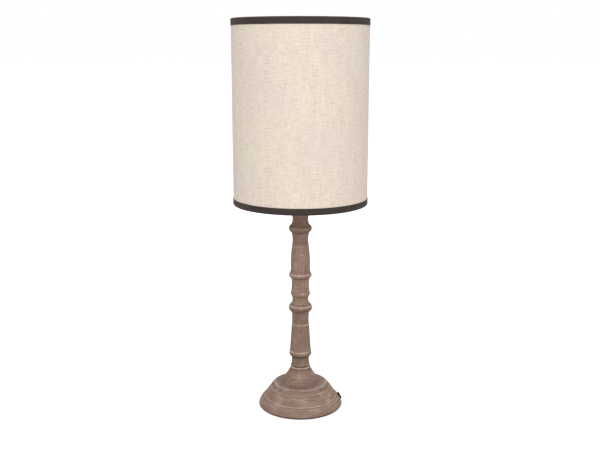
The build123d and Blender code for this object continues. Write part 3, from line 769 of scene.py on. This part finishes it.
def makeFelt():
    look = feltLook
    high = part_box("felt_pad")[1]
    radius, thick = high.x / mm, high.z / mm
    rows = [(radius - look["edge"], look["lift"]), (radius, look["edge"], 0.12),
            (radius, thick - look["topEdge"]), (radius - look["topEdge"], thick, 0.1)]
    path = cornerPoints([(0, look["lift"])]) + outlinePoints(rows, 0.25) + [Vector((0, high.z))]
    felt = turnOnLathe("feltPad", path, look["segments"])
    for vertex in felt.data.vertices:
        radius = fromAxis(vertex.co)
        if radius > look["fuzzFrom"]:
            widen(vertex, 1 - look["fuzz"] * abs(noise.noise(vertex.co * 900)) / radius)
    dress(felt, "stand", "blackFelt", "felt_pad")


makeFoot()
print("foot is turned")
makeColumn()
print("column is turned")
makeFelt()


# shade

armAngles = (90, 210, 330)  # where the fitter's arms are, from the right and anticlockwise
shadeLow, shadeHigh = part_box("shade_linen")
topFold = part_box("trim_top")
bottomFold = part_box("trim_bottom")
linenLook = {
    "thickness": 0.5 * mm, "lap": 12 * mm, "lapRise": 5 * mm, "lapGap": 0.02 * mm,
    "columns": 420, "rows": 110, "ripple": 0.05 * mm,
}
ribbonLook = {
    "thickness": 0.5 * mm, "lap": 10 * mm, "lapRise": 4 * mm, "lapGap": 0.03 * mm,
    "columns": 560, "rows": 34, "ripple": 0.04 * mm,
    "outside": 10 * mm, "inside": 6.5 * mm, "bend": 1.5 * mm, "bendSteps": 8, "wire": 3.4 * mm,
    "pucker": 0.35 * mm, "puckerLength": 9 * mm,
    "seamFrom": 14 * mm, "seamTo": 8 * mm,  # before its ends, where it climbs over the linen's lap
    "slitHalf": 2.1 * mm, "slitDepth": 0.9 * mm, "slitTop": 0.7 * mm,
}


def flatCloth(name, width, height, columns, rows):
    deselectAll()
    bpy.ops.mesh.primitive_grid_add(x_subdivisions=columns, y_subdivisions=rows, size=1, location=(0, 0, 0))
    cloth = bpy.context.active_object
    cloth.name = name
    bpy.ops.transform.resize(value=(width, height, 1))
    applyPlace(scale=True)
    flatMap = cloth.data.uv_layers[0]
    flatMap.name = "cloth"
    for loop in cloth.data.loops:
        corner = cloth.data.vertices[loop.vertex_index].co
        flatMap.data[loop.index].uv = (corner.x, corner.y)
    return cloth

def lapShare(along, radius, look):
    # 0 on the first layer, 1 where the lap lies over it
    start = math.pi * radius - look["lap"] / 2
    return smoothStep(along, start - look["lapRise"], start - mm)


def makeLinen():
    look = linenLook
    radius = shadeHigh.x - look["thickness"] / 2
    width = fullTurn * radius + look["lap"]
    height = shadeHigh.z - shadeLow.z
    middle = (shadeHigh.z + shadeLow.z) / 2
    cloth = flatCloth("linenShade", width, height, look["columns"], look["rows"])
    for vertex in cloth.data.vertices:
        along, up = vertex.co.x, vertex.co.y
        out = radius + look["ripple"] * noise.noise(Vector((along * 30, up * 30, 0)))
        out += (look["thickness"] + look["lapGap"]) * lapShare(along, radius, look)
        vertex.co = aroundAxis(out, along / radius - math.pi / 2, middle + up)
    applyModifier(cloth, "SOLIDIFY", thickness=look["thickness"], offset=0)
    dress(cloth, "shade", "naturalLinen", "shade_linen", smooth=50)
    return cloth, width, height


def foldPath(look):
    # the ribbon's way from its outer raw edge over the shade's edge to its inner raw edge
    outer = topFold[1].x - look["thickness"] / 2
    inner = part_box("top_wire_ring")[1].x - look["wire"] - look["thickness"] / 2
    bend = look["bend"]
    top = -look["thickness"] / 2
    turns = [math.pi / 2 * index / look["bendSteps"] for index in range(1, look["bendSteps"] + 1)]
    path = [Vector((outer, -look["outside"])), Vector((outer, top - bend))]
    path += [Vector((outer - bend + bend * math.cos(turn), top - bend + bend * math.sin(turn))) for turn in turns]
    path.append(Vector((inner + bend, top)))
    path += [Vector((inner + bend - bend * math.sin(turn), top - bend + bend * math.cos(turn))) for turn in turns]
    path.append(Vector((inner, -look["inside"])))
    return path


def pointOn(path, distance):
    for start, end in zip(path, path[1:]):
        length = (end - start).length
        if distance <= length or end is path[-1]:
            way = (end - start) / length
            return start + way * distance, Vector((way.y, -way.x))
        distance -= length


def makeTrim(name, node, edge, upward, slit):
    look = ribbonLook
    path = foldPath(look)
    width = sum((end - start).length for start, end in zip(path, path[1:]))
    radius = topFold[1].x - look["thickness"] / 2
    cloth = flatCloth(name, fullTurn * radius + look["lap"], width, look["columns"], look["rows"])
    halfWay = math.pi * radius
    for vertex in cloth.data.vertices:
        along, across = vertex.co.x, vertex.co.y + width / 2
        point, outward = pointOn(path, across)
        lift = look["ripple"] * noise.noise(Vector((along * 60, across * 90, upward)))
        lift += (look["thickness"] + look["lapGap"]) * lapShare(along, radius, look)
        overLap = smoothStep(abs(along), halfWay - look["seamFrom"], halfWay - look["seamTo"])
        outerSide = 1 - smoothStep(across, look["outside"] + mm, look["outside"] + 4 * mm)
        lift += linenLook["thickness"] * overLap * outerSide
        inward = smoothStep(across, width - look["inside"], width)
        wave = fullTurn * along / look["puckerLength"] + 2 * noise.noise(Vector((along * 40, 0, upward)))
        lift += look["pucker"] * inward * (0.5 - 0.5 * math.cos(wave))
        point = point + outward * lift
        vertex.co = aroundAxis(point.x, along / radius - math.pi / 2, edge + upward * point.y)
    if slit:
        slitForArms(cloth, path[-1].x, edge)
    applyModifier(cloth, "SOLIDIFY", thickness=look["thickness"], offset=0)
    faceOutward(cloth)
    dress(cloth, "shade", "darkRibbon", node, smooth=50)
    return cloth


def slitForArms(cloth, innerRadius, edge):
    # the inner fold is slit where each arm of the fitter comes through
    look = ribbonLook
    pick(cloth)
    setMode("EDIT")
    bpy.ops.mesh.select_mode(type="FACE")
    bpy.ops.mesh.select_all(action="DESELECT")
    setMode("OBJECT")
    for polygon in cloth.data.polygons:
        center = polygon.center
        radius = fromAxis(center)
        angle = math.degrees(math.atan2(center.y, center.x))
        offset = min(abs((angle - arm + 180) % 360 - 180) for arm in armAngles)
        innerFold = radius < innerRadius + look["slitDepth"] and center.z > edge + look["slitTop"]
        polygon.select = innerFold and math.radians(offset) * radius < look["slitHalf"]
    setMode("EDIT")
    bpy.ops.mesh.delete(type="FACE")
    setMode("OBJECT")


linenShade, linenWidth, linenHeight = makeLinen()
print("linen is wrapped")
trimTop = makeTrim("ribbonTop", "trim_top", topFold[1].z, 1, False)
trimBottom = makeTrim("ribbonBottom", "trim_bottom", bottomFold[0].z, -1, True)
print("ribbons are folded over the edges")


# lampholder, rings, fitter and bulb

holderLook = {
    "segments": 240, "step": 0.35, "ribs": 40, "ribDepth": 0.45 * mm, "ribRunOut": 0.5 * mm,
    "capBand": (18.6, 336.0, 340.4), "skirtBand": (22.0, 342.9, 346.1),  # least radius, bottom and top
    "barHeight": 334.0 * mm, "barHole": 2.15 * mm, "barLength": 44 * mm,
    "ringPitch": 2.5, "ringDepth": 0.85,
    "skirtThread": ((349.4, 372.4), (18.3, 19.8)), "ringThread": ((350.0, 359.4), (19.6, 19.85)),
}
capRows = [
    (5.3, 321.2), (7.6, 321.2), (8, 321.6, 0.1), (8, 327.2), (19, 335.5, -2), (19, 340.6),
    (18.6, 341, 0.1), (16.75, 341), (16.75, 338.1), (15.4, 338.1), (15.4, 335.5), (8, 329, 1.2),
    (5.3, 329), (5.3, 321.2),
]
skirtRows = [
    (16.75, 341), (19.2, 341), (19.6, 341.4, 0.1), (19.6, 343), (22.1, 343), (22.5, 343.4, 0.1),
    (22.5, 345.6), (22.1, 346, 0.1), (19.6, 346), (19.6, 370.8), (18.4, 372), (15.4, 372),
    (14.9, 371.5, 0.12), (14.9, 346), (16.75, 346), (16.75, 341),
]
lowerRingRows = [
    (19.62, 346.05), (22.1, 346.05), (22.4, 346.3, 0.08), (22.4, 347), (24.1, 347), (24.4, 347.3, 0.08),
    (24.4, 348.95), (20.2, 348.95), (19.62, 348.4), (19.62, 346.05),
]
upperRingRows = [
    (20.3, 350.55), (24.1, 350.55), (24.4, 350.8, 0.08), (24.4, 352.1), (24, 352.5, 0.12), (22.9, 352.5),
    (22.4, 353, -0.15), (22.4, 358.2), (21.6, 359, 0.3), (20.3, 359), (19.75, 358.4), (19.75, 351.1),
    (20.3, 350.55),
]
gripLook = {"count": 12, "radius": 1.2, "center": 22.8, "bottom": 352.7 * mm, "wall": 21 * mm}


def ribBand(piece, band):
    # shallow upright ribs round an outer wall
    outer, bottom, top = [size * mm for size in band]
    runOut = holderLook["ribRunOut"]
    for vertex in piece.data.vertices:
        radius, height = fromAxis(vertex.co), vertex.co.z
        if radius < outer or not bottom < height < top:
            continue
        angle = math.atan2(vertex.co.y, vertex.co.x)
        ends = smoothStep(height, bottom, bottom + runOut) * (1 - smoothStep(height, top - runOut, top))
        cut = holderLook["ribDepth"] * (0.5 - 0.5 * math.cos(holderLook["ribs"] * angle)) ** 2 * ends
        widen(vertex, 1 - cut / radius)
    piece.data.update()


def hollowGrips(ring):
    # upright finger grooves round the ring's collar
    look = gripLook
    part = fullTurn / look["count"]
    for vertex in ring.data.vertices:
        radius = fromAxis(vertex.co)
        if radius < look["wall"] or vertex.co.z < look["bottom"]:
            continue
        angle = (math.atan2(vertex.co.y, vertex.co.x) + part / 2) % part - part / 2
        aside = look["center"] * math.sin(angle)
        if abs(aside) < look["radius"]:
            limit = look["center"] * math.cos(angle) - math.sqrt(look["radius"] ** 2 - aside ** 2)
            if radius > limit * mm:
                widen(vertex, limit * mm / radius)


def makeHolder():
    look = holderLook
    cap = turnOnLathe("holderCap", outlinePoints(capRows, look["step"]), look["segments"])
    ribBand(cap, look["capBand"])
    middle = (0, 0, look["barHeight"])
    cutAway(cap, addCylinder(40, look["barHole"], look["barLength"], middle, (0, math.pi / 2, 0)))
    dress(cap, "stand", "blackPlastic", "holder_cap")

    skirt = turnOnLathe("holderSkirt", outlinePoints(skirtRows, look["step"]), look["segments"])
    ribBand(skirt, look["skirtBand"])
    cutThread(skirt, *look["skirtThread"], look["ringPitch"], look["ringDepth"])
    dress(skirt, "stand", "blackPlastic", "holder_skirt")

    lower = turnOnLathe("lowerShadeRing", outlinePoints(lowerRingRows, 0.5), look["segments"])
    dress(lower, "stand", "blackPlastic", "lower_shade_ring")

    upper = turnOnLathe("upperShadeRing", outlinePoints(upperRingRows, 0.4), 360)
    hollowGrips(upper)
    cutThread(upper, *look["ringThread"], look["ringPitch"], -look["ringDepth"])
    dress(upper, "shade_ring", "blackPlastic", "upper_shade_ring")


lampThread = {
    "pitch": 3.629, "depth": 1.0, "segments": 120, "step": 0.3,
    "shell": ((348.0, 368.2), (13.3, 14.3)), "cap": ((353.4, 371.5), (12.5, 13.2)),  # heights, walls
}
shellRows = [
    (9, 346), (13.8, 346), (14.2, 346.4, 0.12), (14.2, 368), (13.5, 368), (13.5, 346.7), (9, 346.7),
    (9, 346),
]
bulbCapRows = [
    (11.6, 352.55), (12.6, 352.55), (13.1, 353.1, 0.12), (13.1, 373.2), (13.45, 373.7, -0.08), (13.45, 374.2, 0.1),
    (13.1, 374.5, 0.05), (12.6, 374.5), (12.6, 353.05), (11.6, 353.05), (11.6, 352.55),
]


def makeScrew(name, rows, thread, body, node):
    look = lampThread
    screw = turnOnLathe(name, outlinePoints(rows, look["step"]), look["segments"])
    cutThread(screw, *thread, look["pitch"], look["depth"])
    dress(screw, body, "nickelledBrass", node)


bulbLook = {
    "globe": 30.0, "center": 423.6, "wall": 0.8, "join": 4.0, "neckOutside": 12.5, "step": 13.7,
    "rim": 374.5, "mouth": 356.5, "neckLean": 0.12, "gap": 0.1, "bevel": 0.3, "segments": 144,
}


def swellCurve(start, startWay, end, endWay, count):
    length = (end - start).length
    points = []
    for index in range(1, count + 1):
        t = index / count
        points.append(start * (2 * t ** 3 - 3 * t ** 2 + 1) + startWay * length * (t ** 3 - 2 * t ** 2 + t)
                      + end * (3 * t ** 2 - 2 * t ** 3) + endWay * length * (t ** 3 - t ** 2))
    return points


def makeBulb():
    look = bulbLook
    middle = Vector((0, look["center"]))
    neckWay = Vector((look["neckLean"], 1)).normalized()

    def crown(radius):
        start = -math.asin(look["join"] / radius)
        angles = [start + (math.pi / 2 - start) * index / 40 for index in range(41)]
        points = [middle + radius * Vector((math.cos(angle), math.sin(angle))) for angle in angles]
        points[-1].x = 0.0
        return points

    outer = crown(look["globe"])
    inner = crown(look["globe"] - look["wall"])[::-1]
    joinWay = Vector((look["join"], outer[0].x)).normalized()
    neckInside = look["neckOutside"] - look["wall"]
    neckTop = look["rim"] + look["gap"]
    stepPoint = Vector((look["step"], neckTop + look["bevel"]))
    path = [Vector((neckInside, look["mouth"])), Vector((look["neckOutside"], look["mouth"])),
            Vector((look["neckOutside"], neckTop)), Vector((look["step"] - look["bevel"], neckTop)), stepPoint]
    path += swellCurve(stepPoint, neckWay, outer[0], joinWay, 36)[:-1]
    path += outer + inner
    innerNeck = Vector((neckInside, look["rim"] + look["wall"]))
    path += swellCurve(inner[-1], -joinWay, innerNeck, -neckWay, 20)
    path.append(path[0])
    glass = turnOnLathe("bulbGlass", cornerPoints(path), look["segments"])
    dress(glass, "bulb", "opalGlass", "bulb_glass", smooth=30)


rodLook = {
    "radius": 5.0, "bore": 3.5, "chamfer": 0.6, "pitch": 1.0, "depth": 0.55, "threaded": 24.0,
    "walls": (4.8, 5.1), "segments": 40, "step": 0.2,
}


def makeRod():
    look = rodLook
    low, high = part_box("threaded_rod")
    bottom, top = low.z / mm, high.z / mm
    radius, bore, chamfer = look["radius"], look["bore"], look["chamfer"]
    foot = [(radius - chamfer, bottom), (radius, bottom + chamfer), (radius, bottom + look["threaded"])]
    head = [(radius, top - look["threaded"]), (radius, top - chamfer), (radius - chamfer, top)]
    outside = outlinePoints(foot, look["step"]) + outlinePoints(head, look["step"])
    path = outside + cornerPoints([(bore, top), (bore, bottom)]) + outside[:1]
    rod = turnOnLathe("threadedRod", path, look["segments"])
    for heights in ((bottom, bottom + look["threaded"]), (top - look["threaded"], top)):
        cutThread(rod, heights, look["walls"], look["pitch"], look["depth"])
    dress(rod, "stand", "platedSteel", "threaded_rod")


# millimetres: the hole and its bevel, how far the corners stand out and how deep their chamfer is
nutLook = {"hole": 4.7, "bevel": 0.6, "corner": 1.3, "chamfer": 0.8, "slack": 0.1, "segments": 96}


def makeNut(name, node, finish):
    look = nutLook
    low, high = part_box(node)
    flats = min(high.x - low.x, high.y - low.y) / mm
    turned = math.pi / 2 if high.x > high.y else 0
    nut = addCylinder(6, flats / math.sqrt(3) * mm, high.z - low.z, (0, 0, (low.z + high.z) / 2), (0, 0, turned))
    nut.name = name
    applyPlace(rotation=True)
    bottom, top = low.z / mm - look["slack"], high.z / mm + look["slack"]
    face, corner = flats / 2 - look["slack"], flats / 2 + look["corner"]
    hole, bevel, chamfer = look["hole"], look["bevel"], look["chamfer"] + look["slack"]
    rows = [(face, bottom), (corner, bottom + chamfer), (corner, top - chamfer), (face, top), (hole + bevel, top),
            (hole, top - bevel - look["slack"]), (hole, bottom + bevel + look["slack"]), (hole + bevel, bottom),
            (face, bottom)]
    chamfered = turnOnLathe(name + "Chamfer", cornerPoints(rows), look["segments"])
    applyModifier(nut, "BOOLEAN", operation="INTERSECT", solver="EXACT", object=chamfered)
    bpy.data.objects.remove(chamfered)
    dress(nut, "stand", finish, node, smooth=25)


fitterLook = {
    "ring": 97.3, "wire": 1.7, "ringHeight": 322.3, "arm": 1.5, "bend": 8.0,
    "centerRows": [(21.3, 349), (25.7, 349), (26, 349.3, 0.08), (26, 350.2), (25.7, 350.5, 0.08),
                   (21.3, 350.5), (21, 350.2, 0.08), (21, 349.3), (21.3, 349, 0.08)],
    "armPath": [(97.3, 322.3), (85.3, 323.3), (34, 348.75), (25.2, 349.75)],
    "welds": [(96.1, 322.3, 2.1), (25.6, 349.6, 1.9)],  # radius, height and size, at each end of an arm
    "weldFlat": 0.72,
}


def filletPath(corners, radius, steps):
    points = [Vector(corners[0])]
    for before, corner, after in zip(corners, corners[1:], corners[2:]):
        corner = Vector(corner)
        back = (Vector(before) - corner).normalized()
        forth = (Vector(after) - corner).normalized()
        half = back.angle(forth) / 2
        cut = radius / math.tan(half)
        middle = corner + (back + forth).normalized() * (radius / math.sin(half))
        start = corner + back * cut - middle
        end = corner + forth * cut - middle
        for index in range(steps + 1):
            points.append(middle + (start.lerp(end, index / steps)).normalized() * radius)
    points.append(Vector(corners[-1]))
    return points


def makeFitter():
    look = fitterLook
    deselectAll()
    bpy.ops.mesh.primitive_torus_add(
        major_radius=look["ring"] * mm, minor_radius=look["wire"] * mm, major_segments=180, minor_segments=16,
        location=(0, 0, look["ringHeight"] * mm))
    fitter = bpy.context.active_object
    fitter.name = "shadeFitter"
    applyPlace()
    pieces = [turnOnLathe("centerRing", outlinePoints(look["centerRows"], 0.5), 120)]
    path = filletPath(look["armPath"], look["bend"], 8)
    for azimuth in armAngles:
        angle = math.radians(azimuth)
        line = bpy.data.curves.new("fitterArm", "CURVE")
        line.dimensions = "3D"
        spline = line.splines.new("POLY")
        spline.points.add(len(path) - 1)
        for point, place in zip(spline.points, path):
            point.co = (*aroundAxis(place.x * mm, angle, place.y * mm), 1)
        line.bevel_depth = look["arm"] * mm
        line.bevel_resolution = 3
        line.use_fill_caps = True
        arm = bpy.data.objects.new("fitterArm", line)
        bpy.context.collection.objects.link(arm)
        pick(arm)
        bpy.ops.object.convert(target="MESH")
        pieces.append(bpy.context.active_object)
        for radius, height, size in look["welds"]:
            deselectAll()
            bpy.ops.mesh.primitive_uv_sphere_add(
                segments=20, ring_count=12, radius=size * mm, location=aroundAxis(radius * mm, angle, height * mm))
            bead = bpy.context.active_object
            bpy.ops.transform.resize(value=(1.0, 1.0, look["weldFlat"]))
            applyPlace(scale=True)
            pieces.append(bead)
    pick(fitter, *pieces)
    bpy.ops.object.join()
    dress(fitter, "shade", "whiteEnamel", "shade_fitter", smooth=45)


makeHolder()
makeScrew("screwShell", shellRows, lampThread["shell"], "stand", "screw_shell")
makeScrew("bulbCap", bulbCapRows, lampThread["cap"], "bulb", "bulb_cap")
makeBulb()
print("lampholder and bulb are made")
makeRod()
makeNut("footNut", "foot_nut", "platedSteel")
makeNut("lockNut", "lock_nut", "brass")
makeFitter()
print("rod, nuts and fitter are made")


# CAD nodes that keep their shape

carried = {
    "blackRubber": ["cable_bush"],
    "platedSteel": ["foot_washer", "cap_screw"],
    "brass": ["seating_washer", "terminal_screws", "centre_contact", "switch_bar"],
    "blackPlastic": ["switch_tips"],
    "whiteCeramic": ["holder_core"],
    "whiteLining": ["shade_lining"],
    "whiteEnamel": ["top_wire_ring"],
    "solder": ["bulb_eyelet"],
    "blackGlass": ["bulb_insulator"],
}
for finish, nodes in carried.items():
    for node in nodes:
        cadNodes[node].data.materials.clear()
        cadNodes[node].data.materials.append(finishes[finish])
